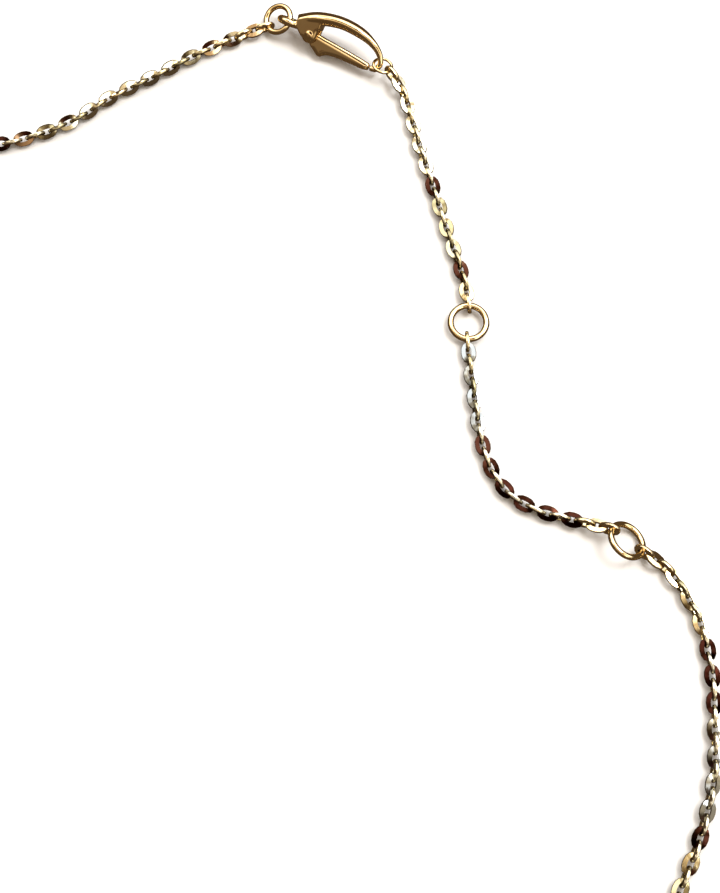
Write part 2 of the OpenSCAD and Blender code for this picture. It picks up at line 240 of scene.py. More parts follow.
def directions(count):
    # unit vectors spread evenly round a circle
    angle = np.arange(count) * 360 / count
    return np.column_stack([cosine(angle), sine(angle)])


def onLevels(outline, heights):
    # one flat outline drawn again at each height
    return np.vstack([np.column_stack([outline, np.full(len(outline), z)]) for z in heights])


def gridFaces(rows, columns, closedRows):
    # quads between neighbouring points of a grid whose columns close on themselves
    lastRow = rows if closedRows else rows - 1
    row, column = np.meshgrid(np.arange(lastRow), np.arange(columns), indexing="ij")
    nextRow = (row + 1) % rows
    nextColumn = (column + 1) % columns
    corners = [row * columns + column, row * columns + nextColumn]
    corners += [nextRow * columns + nextColumn, nextRow * columns + column]
    return np.stack(corners, axis=-1).reshape(-1, 4)


def revolved(profile, around):
    # a closed profile of radius and height, carried round the upright axis
    ways = directions(around)
    x = profile[None, :, 0] * ways[:, 0:1]
    y = profile[None, :, 0] * ways[:, 1:2]
    z = np.broadcast_to(profile[None, :, 1], x.shape)
    return np.stack([x, y, z], axis=-1).reshape(-1, 3), gridFaces(around, len(profile), True)


def wireRing(od, wire, around, section):
    # a torus of round wire, whose section runs clockwise so that its faces look outwards
    profile = np.array([(od - wire) / 2, 0]) + wire / 2 * directions(section) * [1, -1]
    return revolved(profile, around)


def catmullRom(points, steps):
    # each span is a cubic through its two points, with its end slopes taken from their neighbours
    p = np.vstack([2 * points[0] - points[1], points, 2 * points[-1] - points[-2]])
    spans = len(points) - 1
    a, b, c, d = (p[k:k + spans, None, :] for k in range(4))
    t = (np.arange(steps) / steps)[None, :, None]
    curve = 0.5 * (
        2 * b + (c - a) * t + (2 * a - 5 * b + 4 * c - d) * t ** 2 + (3 * b - a - 3 * c + d) * t ** 3
    )
    return np.vstack([curve.reshape(-1, points.shape[1]), points[-1:]])


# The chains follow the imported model's own route. Each of its points has a place, a height above the
# chain lying flat, and the lean of the links there; the ends at rings and stations are worked out.
chain = {
    "linkLength": 1.7, "linkWidth": 1.24, "linkBand": 0.22, "linkThickness": 0.28,
    "play": 0.23, "hookPlay": 0.15, "curveSteps": 10, "lead": 3.0
}
chainZ = math.hypot(chain["linkWidth"], chain["linkThickness"]) / 2
linkPitch = chain["linkLength"] - 2 * chain["linkBand"] - chain["play"]
route = [
    [
        [36.5, 71.1, 0, -10], [34.9, 70.35, 0, -20], [33.1, 69.5, 0, -30], [31.2, 68.5, 0, -38],
        [28, 66.6, 0, -44], [24.4, 64.6, 0, -44], [21, 62.2, 0, -38], [17.25, 60.6, 0, -31],
        [13.2, 59.8, 0, -25], [-0.3, 58.5, 0, -5], [-11.3, 57.4, 0, 0], [-21.3, 56, 0, 0],
        [-31.3, 53.2, 0, 0], [-41.3, 48.4, 0, 0], [-50.3, 42.2, 0, 0], [-58.3, 34.2, 0, 0],
        [-64.8, 25, 0, 0], [-69.3, 14.9, 0, 0]
    ],
    [[-73.4, -8.4, 0, 0], [-71.9, -21.3, 0, 0], [-67.8, -33.6, 0, 0]],
    [[-52.4, -54.9, 0, 0], [-41.1, -63.2, 0, 0], [-29.3, -68.6, 0, 0]],
    [
        [-3.2, -71.7, 0, 0], [13.1, -68.9, 0, 0], [26, -63.2, 0, 0], [36.1, -56.1, 0, 0],
        [45, -46.6, 0, 0], [51.7, -35.7, 0, 0], [57.8, -24.4, 0, 0], [63.9, -13.1, 0, 0],
        [67.5, -6.6, 0, 0], [70.3, -1, 0, -8], [71.9, 2.5, 0, -2], [73.1, 6.6, 0, 0],
        [73.45, 10.5, 0, -10], [73.5, 14.6, 0, -14], [72.9, 18.2, 0, -5], [71.95, 20.45, 0, 2],
        [71.2, 21.7, 0.03, 8], [70.15, 22.95, 0.08, 12]
    ],
    [
        [64.9, 26.1, 0.4, 12], [63.5, 26.5, 0.12, 0], [61.7, 27, 0, -10], [59.8, 27.7, 0, -15],
        [58.2, 28.8, 0, -15], [57, 30.5, 0, -13], [56.2, 32.7, 0, -9], [55.6, 36.6, 0, 0]
    ],
    [
        [54.9, 47.5, 0, -6], [53.75, 51.4, 0, -10], [52.6, 55.5, 0, -10], [51.5, 59.3, 0, -3],
        [50.5, 63.2, 0, 3], [50.1, 64.6, 0.1, 8], [49.6, 65.7, 0.35, 14]
    ]
]

# the clasp's own x runs from its eyelet to its nose, and y across it
clasp = {
    "length": 9.4, "width": 3.4, "thickness": 1.8, "lean": 35.0, "heading": -25.3,
    "place": np.array([40, 71.55, 1.5]), "eyeletHole": 0.95, "eyeletWire": 0.68,
    "leverThickness": 0.7, "leverPlay": 0.06, "rivet": 0.5, "rivetPlay": 0.03, "bossWall": 0.32,
    "tipGap": 0.1, "ringPlay": 0.06, "ringWay": np.array([-1.05, 0.51, -0.35]),
    "endRingShares": (0.98, -0.12, -0.02)
}
claspSize = np.array([clasp["length"], clasp["width"], clasp["thickness"]])
claspTurn = turnAbout("z", clasp["heading"]) @ turnAbout("x", clasp["lean"])


def claspPoint(p):
    return np.asarray(p) @ claspTurn.T + clasp["place"]


ringSizes = {
    "sizing": {"od": 3.5, "wire": 0.52},
    "clasp": {"od": 2.85, "wire": 0.5},
    "end": {"od": 1.9, "wire": 0.25}
}
claspRingReach = (ringSizes["clasp"]["od"] - ringSizes["clasp"]["wire"]) / 2 + clasp["ringPlay"]
# a ring's lean is how far it tilts, and towards which heading
rings = {
    "claspRing": {
        **ringSizes["clasp"], "node": "clasp_ring", "lean": (25, 205),
        "place": clasp["place"] + claspRingReach * clasp["ringWay"] / np.linalg.norm(clasp["ringWay"])
    },
    "endRing": {
        **ringSizes["end"], "node": "end_ring", "lean": (18, 50),
        "place": claspPoint(claspSize * clasp["endRingShares"])
    },
    "nearSizingRing": {
        **ringSizes["sizing"], "node": "near_sizing_ring", "lean": (0, 0),
        "place": np.array([55.25, 43.5, chainZ])
    },
    "farSizingRing": {
        **ringSizes["sizing"], "node": "far_sizing_ring", "lean": (32, 36),
        "place": np.array([67.37, 24.8, 1.15])
    }
}

# the three stations are alike, and their cups are sized by the stone
station = {
    "places": np.array([[-72.2, 5.0], [-61.1, -45.3], [-16.7, -71.3]]), "stone": 3.35, "wall": 0.35,
    "play": 0.04, "lip": 0.14, "loop": 1.5, "loopWire": 0.3, "culet": 0.15,
    "crownShare": 0.15, "pavilionShare": 0.43, "girdleShare": 0.03, "footShare": 0.8, "rimHeight": 0.36
}
station["crown"] = station["crownShare"] * station["stone"]
station["pavilion"] = station["pavilionShare"] * station["stone"]
station["girdle"] = station["girdleShare"] * station["stone"]
station["girdleZ"] = station["culet"] + station["pavilion"]
station["radius"] = station["stone"] / 2 + station["play"] + station["wall"]
station["baseRadius"] = station["footShare"] * station["radius"]
station["height"] = station["girdleZ"] + station["girdle"] + station["rimHeight"]
station["loopRadius"] = (station["loop"] - station["loopWire"]) / 2
station["loopX"] = (
    station["baseRadius"] + (station["radius"] - station["baseRadius"]) * chainZ / station["height"]
    + station["loopRadius"]
)
station["headings"] = [
    math.degrees(math.atan2(route[k + 1][0][1] - route[k][-1][1], route[k + 1][0][0] - route[k][-1][0]))
    for k in range(3)
]


def ringTurn(ring):
    tilt, heading = ring["lean"]
    return turnAbout("z", heading) @ turnAbout("y", tilt)


def hookReach(wire):
    # from the wire of a ring to the middle of the link that holds it
    return chain["linkLength"] / 2 - chain["linkBand"] - wire / 2 - chain["hookPlay"]


def hook(ring, side):
    # where a link holds a ring: a point on the wire's centre line, the wire's direction, and the reach
    away = side - ring["lean"][1]
    turn = ringTurn(ring)
    return {
        "point": ring["place"] + (ring["od"] - ring["wire"]) / 2 * turn @ [cosine(away), sine(away), 0],
        "wire": turn @ [-sine(away), cosine(away), 0],
        "reach": hookReach(ring["wire"]),
        "through": np.zeros((0, 4))
    }


def stationHook(which, side):
    # where a link holds a station's loop; the chain leaves it straight, through one more point
    heading = station["headings"][which]
    out = side * np.array([cosine(heading), sine(heading), 0])
    reach = station["loopX"] + station["loopRadius"]
    point = np.array([*station["places"][which], chainZ]) + reach * out
    return {
        "point": point,
        "wire": np.array([-sine(heading), cosine(heading), 0]),
        "reach": hookReach(station["loopWire"]),
        "through": np.array([[*(point + chain["lead"] * out), 0]])
    }


def headingOf(d):
    return np.degrees(np.arctan2(d[..., 1], d[..., 0]))


def climbOf(d):
    return np.degrees(np.arcsin(d[..., 2] / np.linalg.norm(d, axis=-1)))


def turnAcross(d, wire):
    # the turn that sets an upright link across a wire, for a chain that runs along d
    h, e = headingOf(d), climbOf(d)
    up = wire @ np.array([-sine(e) * cosine(h), -sine(e) * sine(h), cosine(e)])
    side = wire @ np.array([-sine(h), cosine(h), 0])
    angle = math.degrees(math.atan2(up, side))
    return (angle + 90) % 180 - 90


def strung(start, points, stop):
    # a smooth curve between two hooks, as tables of length against place and turn
    middle = np.array(points, float)
    middle[:, 2] += chainZ
    middle = np.vstack([start["through"], middle, stop["through"]])
    first = [*start["point"], turnAcross(middle[0, :3] - start["point"], start["wire"])]
    last = [*stop["point"], turnAcross(stop["point"] - middle[-1, :3], stop["wire"])]
    curve = catmullRom(np.vstack([first, middle, last]), chain["curveSteps"])
    lengths = np.concatenate([[0], np.cumsum(np.linalg.norm(np.diff(curve[:, :3], axis=0), axis=1))])
    return {
        "lengths": lengths, "curve": curve, "start": start["reach"], "stop": lengths[-1] - stop["reach"]
    }


def along(track, s):
    return np.stack([np.interp(s, track["lengths"], track["curve"][:, k]) for k in range(4)], axis=-1)


linkShape = {
    "length": 1.84, "width": 1.28, "holeLength": 1.1, "holeWidth": 0.5, "thickness": 0.34,
    "fullness": 2.25, "slope": 0.045, "roundIn": 0.05, "around": 14
}


def oneLink(shape):
    # A full oval with a narrower oval hole. Its two faces slope down a little from the hole to a rounded
    # edge, and the points on that edge are the rim.
    ways = directions(2 * shape["around"])[1::2]
    power = shape["fullness"]
    swell = (np.abs(ways) ** power).sum(axis=1, keepdims=True) ** (-1 / power)
    hole = ways * [shape["holeLength"] / 2, shape["holeWidth"] / 2] * swell
    edge = ways * [shape["length"] / 2, shape["width"] / 2] * swell
    inset = edge - shape["roundIn"] * ways
    high = shape["thickness"] / 2
    low = high - shape["slope"]
    rows = [(hole, -high), (hole, high), (inset, low), (edge, 0), (inset, -low)]
    points = np.stack([onLevels(outline, [z]) for outline, z in rows], axis=1)
    rim = np.tile([outline is edge for outline, z in rows], shape["around"])
    return points.reshape(-1, 3), gridFaces(shape["around"], len(rows), True), rim


# how far links stray at random in angle and tone, and how far those on edge lean over
linkStray = {"roll": 4.0, "dip": 2.0, "swing": 2.0, "tone": 0.06, "settled": 9}


def strungLinks(track, seed, reflectionTones):
    # A copy of the link every step along the track, a quarter turn on from the one before. Each stretch
    # has one painted reflection tone for the links that lie flat and one for those on edge between them.
    count = 2 * math.ceil((track["stop"] - track["start"]) / linkPitch / 2) + 1
    s = np.linspace(track["start"], track["stop"], count)
    here = along(track, s)
    way = along(track, s + linkPitch / 2)[:, :3] - along(track, s - linkPitch / 2)[:, :3]
    chance = np.random.default_rng(seed)
    strays = np.array([[linkStray["roll"]], [linkStray["dip"]], [linkStray["swing"]]])
    roll, dip, swing = chance.normal(0, 1, (3, count)) * strays
    roll[::2] += linkStray["settled"]
    roll[[0, -1]] = 0
    number = np.arange(count)
    upright = np.where(number % 2 == 0, 90, 0)
    turn = (
        turnAbout("z", headingOf(way) + swing) @ turnAbout("y", dip - climbOf(way))
        @ turnAbout("x", upright + here[:, 3] + roll)
    )
    points, faces, rim = oneLink(linkShape)
    vertices = np.einsum("nij,kj->nki", turn, points) + here[:, None, :3]
    allFaces = faces[None] + (number * len(points))[:, None, None]
    # painted reflections: the stretch tones darken or pale the links as if their faces mirrored dark or
    # bright parts of the room; the small random tone added on top is the metal's own
    places, flatReflectionTones, edgeReflectionTones = np.array(reflectionTones, float).T
    stretch = np.interp(number, places, edgeReflectionTones)
    stretch[1::2] = np.interp(number[1::2], places, flatReflectionTones)
    strayTone = chance.uniform(-linkStray["tone"], linkStray["tone"], count)
    values = {"linkToneAndReflection": np.repeat(stretch + strayTone, len(points)), "rim": np.tile(rim, count)}
    return vertices.reshape(-1, 3), allFaces.reshape(-1, 4), values


# a link's tone picks its colour from the first gold: dark red, copper, gold, olive, pale gold or silver;
# the gold in the middle is the metal's own colour, and the darker and paler colours round it are painted
# reflections
chainGold = goldFinish("chainGold", {
    "colours": [
        (0.0, (0.03, 0.008, 0.005)), (0.16, (0.06, 0.022, 0.013)), (0.3, (0.5, 0.33, 0.2)),
        (0.5, (0.86, 0.70, 0.42)), (0.68, (0.28, 0.25, 0.14)), (0.84, (0.85, 0.78, 0.58)),
        (1.0, (0.28, 0.3, 0.31))
    ],
    "cloudScale": 420.0, "cloud": 0.3, "linkToneAndReflection": 1.0, "hairScale": 5200.0, "hairs": 0.5,
    "dentScale": 1500.0, "bump": 0.18, "bumpDepth": 0.00004, "roughness": 0.07, "roughnessSpread": 0.08,
    "rimRoughness": 0.3
})
ringGold = goldFinish("ringGold", {
    "colours": [(0.0, (0.74, 0.50, 0.23)), (0.5, (0.86, 0.67, 0.37)), (1.0, (0.91, 0.77, 0.5))],
    "cloudScale": 300.0, "cloud": 0.8, "linkToneAndReflection": 0.0, "hairScale": 4200.0, "hairs": 0.4,
    "dentScale": 900.0, "bump": 0.12, "bumpDepth": 0.00005, "roughness": 0.04, "roughnessSpread": 0.05,
    "rimRoughness": 0.0
})
claspGold = goldFinish("claspGold", {
    "colours": [(0.0, (0.72, 0.48, 0.22)), (0.5, (0.84, 0.64, 0.35)), (1.0, (0.90, 0.75, 0.48))],
    "cloudScale": 260.0, "cloud": 0.8, "linkToneAndReflection": 0.0, "hairScale": 3600.0, "hairs": 0.5,
    "dentScale": 700.0, "bump": 0.14, "bumpDepth": 0.00005, "roughness": 0.06, "roughnessSpread": 0.07,
    "rimRoughness": 0.0
})
print("materials: three golds")

# each chain runs from one hook to another; a ring's hook is at an angle round it
tracks = {
    "leftChain": strung(hook(rings["claspRing"], 204), route[0], stationHook(0, -1)),
    "leftStationChain": strung(stationHook(0, 1), route[1], stationHook(1, -1)),
    "rightStationChain": strung(stationHook(1, 1), route[2], stationHook(2, -1)),
    "rightChain": strung(stationHook(2, 1), route[3], hook(rings["farSizingRing"], -28)),
    "farExtenderChain": strung(
        hook(rings["farSizingRing"], 147), route[4], hook(rings["nearSizingRing"], -96)
    ),
    "nearExtenderChain": strung(
        hook(rings["nearSizingRing"], 88), route[5], hook(rings["endRing"], -45)
    )
}
chainNodes = {
    "leftChain": ["left_chain", "left_chain_run"], "leftStationChain": ["left_station_chain"],
    "rightStationChain": ["right_station_chain"], "rightChain": ["right_chain", "right_chain_run"],
    "farExtenderChain": ["far_extender_chain"], "nearExtenderChain": ["near_extender_chain"]
}
# a link's number along its chain, the painted reflection tone of a flat link there, and that of one on
# edge
paintedReflectionTones = {
    "leftChain": [
        (0, 0.5, 0.5), (1, 0.36, 0.5), (3, 0.84, 0.6), (5, 0.36, 0.5), (7, 0.8, 0.66), (11, 0.84, 0.68),
        (13, 0.8, 0.6), (17, 0.84, 0.6), (19, 0.8, 0.66), (21, 0.66, 0.7), (22, 0.5, 0.84),
        (23, 0.24, 0.84), (25, 0.08, 0.84), (32, 0.08, 0.84), (40, 0.5, 0.5)
    ],
    "leftStationChain": [(0, 0.5, 0.5)],
    "rightStationChain": [(0, 0.5, 0.5)],
    "rightChain": [
        (104, 0.5, 0.5), (108, 0.84, 0.84), (114, 0.7, 0.84), (118, 0.6, 0.84), (119, 0.1, 0.84),
        (120, 0.5, 0.84), (121, 1, 0.8), (127, 0.94, 0.8), (128, 0.5, 0.84), (129, 0.08, 0.84),
        (133, 0.06, 0.84), (134, 0.4, 0.84), (135, 0.58, 0.8), (142, 0.5, 0.5)
    ],
    "farExtenderChain": [
        (0, 0.5, 0.5), (2, 0.5, 0.6), (3, 0.06, 0.84), (13, 0.08, 0.84), (14, 0.5, 0.84), (15, 1, 0.7),
        (22, 0.98, 0.6)
    ],
    "nearExtenderChain": [
        (0, 0.5, 0.5), (1, 0.6, 0.5), (3, 0.12, 0.6), (5, 0.66, 0.66), (9, 0.66, 0.8), (11, 0.08, 0.8),
        (13, 0.76, 0.8), (15, 0.84, 0.8), (22, 0.84, 0.5)
    ]
}
firstSeed = 11
for seed, (name, track) in enumerate(tracks.items(), firstSeed):
    vertices, faces, values = strungLinks(track, seed, paintedReflectionTones[name])
    makePiece(
        name, vertices, faces, chainGold, "necklace", chainNodes[name],
        sharp=50, values=values
    )
    print("chain:", name, len(faces), "faces")

for name, ring in rings.items():
    points, faces = wireRing(ring["od"], ring["wire"], around=96, section=24)
    vertices = points @ ringTurn(ring).T + ring["place"]
    makePiece(name, vertices, faces, ringGold, "necklace", [ring["node"]], sharp=60)
print("rings:", len(rings))


def joined(parts):
    # several shells as one list of points and one of faces
    offsets = np.cumsum([0] + [len(points) for points, faces in parts])
    faces = [
        [int(k) + int(offset) for k in face]
        for offset, (points, partFaces) in zip(offsets, parts) for face in partFaces
    ]
    return np.vstack([points for points, faces in parts]), faces


def castSolid(shells, cuts, voxel, smoothing):
    # closed shells melted into one skin, which the cuts are taken out of, and then polished
    blank = newObject("blank", *joined(shells))

    def melt():
        remesh = blank.modifiers.new("melt", "REMESH")
        remesh.mode = "VOXEL"
        remesh.voxel_size = voxel

    melt()
    tools = [newObject("cut", *cut) for cut in cuts]
    for tool in tools:
        cut = blank.modifiers.new("cut", "BOOLEAN")
        cut.operation = "DIFFERENCE"
        cut.solver = "EXACT"
        cut.object = tool
    if tools:
        melt()
    polish = blank.modifiers.new("polish", "SMOOTH")
    polish.factor = 0.5
    polish.iterations = smoothing
    done = bpy.data.meshes.new_from_object(blank.evaluated_get(bpy.context.evaluated_depsgraph_get()))
    vertices = np.empty(len(done.vertices) * 3)
    done.vertices.foreach_get("co", vertices)
    faces = [list(polygon.vertices) for polygon in done.polygons]
    for made in [blank] + tools:
        bpy.data.objects.remove(made)
    return vertices.reshape(-1, 3), faces


def prism(outline, low, high):
    # a wall between two levels of an outline, and a flat face on each
    n = len(outline)
    caps = [list(range(n - 1, -1, -1)), list(range(n, 2 * n))]
    return onLevels(outline, (low, high)), gridFaces(2, n, False).tolist() + caps


def disc(place, radius, low, high):
    return prism(place + radius * directions(40), low, high)


def sleeve(sections):
    # rings of points joined one to the next, and closed at both ends
    rows, columns = sections.shape[:2]
    faces = gridFaces(rows, columns, False).tolist()
    last = (rows - 1) * columns
    faces += [list(range(columns - 1, -1, -1)), list(range(last, last + columns))]
    return sections.reshape(-1, 3), faces


def discsOutline(discs, samples):
    # the outline round several discs: in each direction, the disc that reaches farthest
    ways = directions(samples)
    centres, radii = discs[:, :2], discs[:, 2]
    farthest = np.argmax(ways @ centres.T + radii, axis=1)
    return centres[farthest] + radii[farthest, None] * ways


def clipped(outline, axis, limit, side):
    # the part of a round outline on one side of a line, with the points where it crosses the line
    following = np.roll(outline, -1, axis=0)
    here = side * (outline[:, axis] - limit)
    there = side * (following[:, axis] - limit)
    gap = np.where(here == there, 1, here - there)
    crossing = outline + (here / gap)[:, None] * (following - outline)
    both = np.stack([outline, crossing], axis=1)
    return both[np.stack([here >= 0, here * there < 0], axis=1)]


# along and across the clasp, the width of its spine and the thickness, as shares of its own sizes
spineSections = np.array([
    [0.085, 0.12, 0.34, 0.8], [0.255, 0.35, 0.35, 1], [0.468, 0.47, 0.32, 0.95],
    [0.67, 0.43, 0.29, 0.8], [0.815, 0.3, 0.215, 0.45], [0.91, 0.12, 0.17, 0.28],
    [0.953, -0.09, 0.155, 0.24], [0.93, -0.27, 0.15, 0.23], [0.87, -0.3, 0.145, 0.23]
])
spineCurve = catmullRom(spineSections * claspSize[[0, 1, 1, 2]], steps=10)


def spineSleeve(curve, sides):
    # an oval section square to the curve at each of its points
    step = np.vstack([curve[1:], curve[-1:]]) - np.vstack([curve[:1], curve[:-1]])
    h = headingOf(step[:, :2])
    ways = directions(sides)
    across = curve[:, 2:3] / 2 * ways[:, 0]
    x = curve[:, 0:1] - across * sine(h)[:, None]
    y = curve[:, 1:2] + across * cosine(h)[:, None]
    z = curve[:, 3:4] / 2 * ways[:, 1]
    return sleeve(np.stack([x, y, z], axis=-1))


# The cheeks go round the lever's boss and two lobes, which are given as shares of the clasp's sizes.
# A lobe has a place along and across the clasp, and a radius.
cheek = {
    "margin": 0.12, "lobes": np.array([[0.135, 0.08, 0.17], [0.27, 0.33, 0.13]]), "half": 0.44,
    "samples": 96, "steps": 9, "drawIn": 0.38, "flat": 0.62
}
pivot = np.array([0.235, -0.1]) * claspSize[:2]
bossRadius = clasp["rivet"] / 2 + clasp["rivetPlay"] + clasp["bossWall"]
slotHalf = clasp["leverThickness"] / 2 + clasp["leverPlay"]
slotReach = bossRadius + clasp["leverPlay"]
cheekHalf = cheek["half"] * clasp["thickness"]
cheekDiscs = np.vstack([[*pivot, bossRadius + cheek["margin"]], cheek["lobes"] * claspSize[[0, 1, 1]]])
cheekOutline = discsOutline(cheekDiscs, cheek["samples"])
eyeletOd = clasp["eyeletHole"] + 2 * clasp["eyeletWire"]
eyeletPoints, eyeletFaces = wireRing(eyeletOd, clasp["eyeletWire"], around=48, section=20)
eyelet = (eyeletPoints @ turnAbout("x", 90).T, eyeletFaces)
rivetDome = {"radius": 0.34, "sink": 0.03, "rise": 0.13, "steps": 6, "around": 32}


def rivetHead(side):
    # a low dome: circles that shrink as they rise
    ways = directions(rivetDome["around"]) * [1, side]
    circles = []
    for angle in np.arange(rivetDome["steps"]) * 90 / rivetDome["steps"]:
        height = cheekHalf - rivetDome["sink"] + rivetDome["rise"] * sine(angle)
        circles.append(onLevels(pivot + rivetDome["radius"] * cosine(angle) * ways, [side * height]))
    return sleeve(np.stack(circles))


def cheekShells(side):
    # a plate built up of outlines that draw in as they rise, which the melting turns into a round edge
    plates = []
    for angle in np.linspace(0, 90, cheek["steps"]):
        drawnIn = cheek["drawIn"] * (1 - cosine(angle))
        outline = discsOutline(cheekDiscs - [0, 0, drawnIn], cheek["samples"])
        top = cheekHalf * (cheek["flat"] + (1 - cheek["flat"]) * sine(angle))
        points, faces = prism(outline, slotHalf, top)
        if side < 0:
            points, faces = points * [1, 1, -1], [face[::-1] for face in faces]
        plates.append((points, faces))
    return plates


bodyShells = [
    eyelet, spineSleeve(spineCurve, sides=40), *cheekShells(1), *cheekShells(-1),
    prism(clipped(cheekOutline, 0, pivot[0] - slotReach, -1), -cheekHalf, cheekHalf),
    prism(clipped(cheekOutline, 1, pivot[1] + slotReach, 1), -cheekHalf, cheekHalf),
    disc(pivot, clasp["rivet"] / 2, -cheekHalf, cheekHalf), rivetHead(1), rivetHead(-1)
]
bodyPoints, bodyFaces = castSolid(bodyShells, [], voxel=0.05, smoothing=22)
makePiece(
    "claspBody", claspPoint(bodyPoints), bodyFaces, claspGold, "necklace", ["clasp_body"], sharp=50
)
print("clasp: body", len(bodyFaces), "faces")

# along the clasp, and across it to the lever's inner and outer edges, as shares of the clasp's sizes
leverEdges = np.array([
    [0.3, 0, -0.42], [0.37, -0.03, -0.53], [0.43, -0.05, -0.43], [0.55, -0.09, -0.385],
    [0.7, -0.14, -0.395], [0.8, -0.18, -0.4]
]) * claspSize[[0, 1, 1]]


def leverOutline():
    # half a boss round the rivet, the outer edge to the nose, and the inner edge back
    tip = spineCurve[-1]
    noseX = tip[0] - clasp["tipGap"]
    nose = np.array([[noseX, tip[1] - tip[2] / 2], [noseX, tip[1] + tip[2] / 2]])
    a = np.linspace(90, 270, 19)
    boss = pivot + bossRadius * np.column_stack([cosine(a), sine(a)])
    inner, outer = leverEdges[::-1, [0, 1]], leverEdges[:, [0, 2]]
    return np.vstack([boss, catmullRom(outer, steps=8), catmullRom(np.vstack([nose, inner]), steps=8)])


# the lever thins from its full thickness, this far in from its edge, to this share of it at the edge
leverBevel = {"width": 0.5, "least": 0.4}
leverHalf = clasp["leverThickness"] / 2
bore = disc(pivot, clasp["rivet"] / 2 + clasp["rivetPlay"], -1, 1)
leverEdge = leverOutline()
leverShell = prism(leverEdge, -leverHalf, leverHalf)
leverPoints, leverFaces = castSolid([leverShell], [bore], voxel=0.045, smoothing=5)
inward = np.sqrt(((leverPoints[:, None, :2] - leverEdge[None]) ** 2).sum(axis=-1)).min(axis=1)
bevel = np.sqrt(1 - (1 - np.clip(inward / leverBevel["width"], 0, 1)) ** 2)
leverPoints[:, 2] *= leverBevel["least"] + (1 - leverBevel["least"]) * bevel
makePiece(
    "claspLever", claspPoint(leverPoints), leverFaces, claspGold, "lever", ["clasp_lever"],
    sharp=50
)
print("clasp: lever", len(leverFaces), "faces")

cup = {
    "ledge": 0.2, "crownRise": 0.52, "crownRun": 0.18, "bend": 0.15, "bendSteps": 7, "footIn": 0.08,
    "footUp": 0.07, "lipEdge": 0.04, "floor": 0.35
}


def bezelShells(s):
    # the cup is a profile turned round the stone's axis, with a loop of wire on each side
    seat = s["stone"] / 2 - cup["ledge"]
    lip = s["stone"] / 2 - s["lip"]
    stoneRadius = s["stone"] / 2 + s["play"]
    crownZ = s["girdleZ"] + s["girdle"]
    crownSlope = cup["crownRise"] * s["crown"] / (cup["crownRun"] * s["stone"] / 2)
    pavilionSlope = s["pavilion"] / (s["stone"] / 2)
    seatZ = s["girdleZ"] - 2 * s["play"]
    angle = np.linspace(0, 90, cup["bendSteps"])
    bend = cup["bend"] * np.column_stack([cosine(angle), sine(angle)])
    foot = [[seat / 2, 0], [s["baseRadius"] - cup["footIn"], 0], [s["baseRadius"], cup["footUp"]]]
    inside = [
        [lip + cup["lipEdge"], s["height"]], [lip, s["height"] - cup["lipEdge"]],
        [lip, crownZ + s["lip"] * crownSlope + 2 * s["play"]], [stoneRadius, crownZ + 2 * s["play"]],
        [stoneRadius, seatZ], [seat, seatZ - (stoneRadius - seat) * pavilionSlope],
        [seat / 2, cup["floor"]]
    ]
    rim = np.array([s["radius"], s["height"]]) - cup["bend"] + bend
    points, faces = revolved(np.vstack([foot, rim, inside]), around=96)
    loopPoints, loopFaces = wireRing(s["loop"], s["loopWire"], around=48, section=16)
    loops = [(loopPoints + [side * s["loopX"], 0, chainZ], loopFaces) for side in (-1, 1)]
    return [(points, faces[:, ::-1])] + loops


# the table's corners, the stars' tips and the lower halves' tips, as shares of the radius
brilliantCut = {"table": 0.57, "starTips": 0.81, "lowerTips": 0.22}


def brilliant(s):
    # a round brilliant: a table, eight stars, eight kites, sixteen upper and lower halves, eight mains
    r = s["stone"] / 2
    girdleTop = s["girdleZ"] + s["girdle"]
    half = cosine(22.5)
    tableShare, starShare, lowerShare = brilliantCut.values()

    def corners(n, radius, z, turn):
        angle = 360 / n * (np.arange(n) + turn)
        return np.column_stack([radius * cosine(angle), radius * sine(angle), np.full(n, z)])

    starZ = girdleTop + s["crown"] * (1 - starShare * half) / (1 - tableShare)
    lowerZ = s["girdleZ"] - s["pavilion"] * (1 - lowerShare * half)
    points = np.vstack([
        corners(8, tableShare * r, girdleTop + s["crown"], 0), corners(8, starShare * r, starZ, 0.5),
        corners(16, r, girdleTop, 0), corners(16, r, s["girdleZ"], 0),
        corners(8, lowerShare * r, lowerZ, 0.5), [[0, 0, s["culet"]]]
    ])
    table, star, upper, lower, tip, culet = 0, 8, 16, 32, 48, 56
    faces = [list(range(8))]
    for k in range(8):
        after, before = (k + 1) % 8, (k - 1) % 8
        a, b, c = 2 * k, 2 * k + 1, 2 * after
        faces += [
            [table + after, table + k, star + k], [table + k, star + before, upper + a, star + k],
            [star + k, upper + a, upper + b], [star + k, upper + b, upper + c],
            [upper + a, lower + a, lower + b, upper + b], [upper + b, lower + b, lower + c, upper + c],
            [lower + a, tip + k, lower + b], [lower + b, tip + k, lower + c],
            [lower + a, tip + before, culet, tip + k]
        ]
    return points, faces


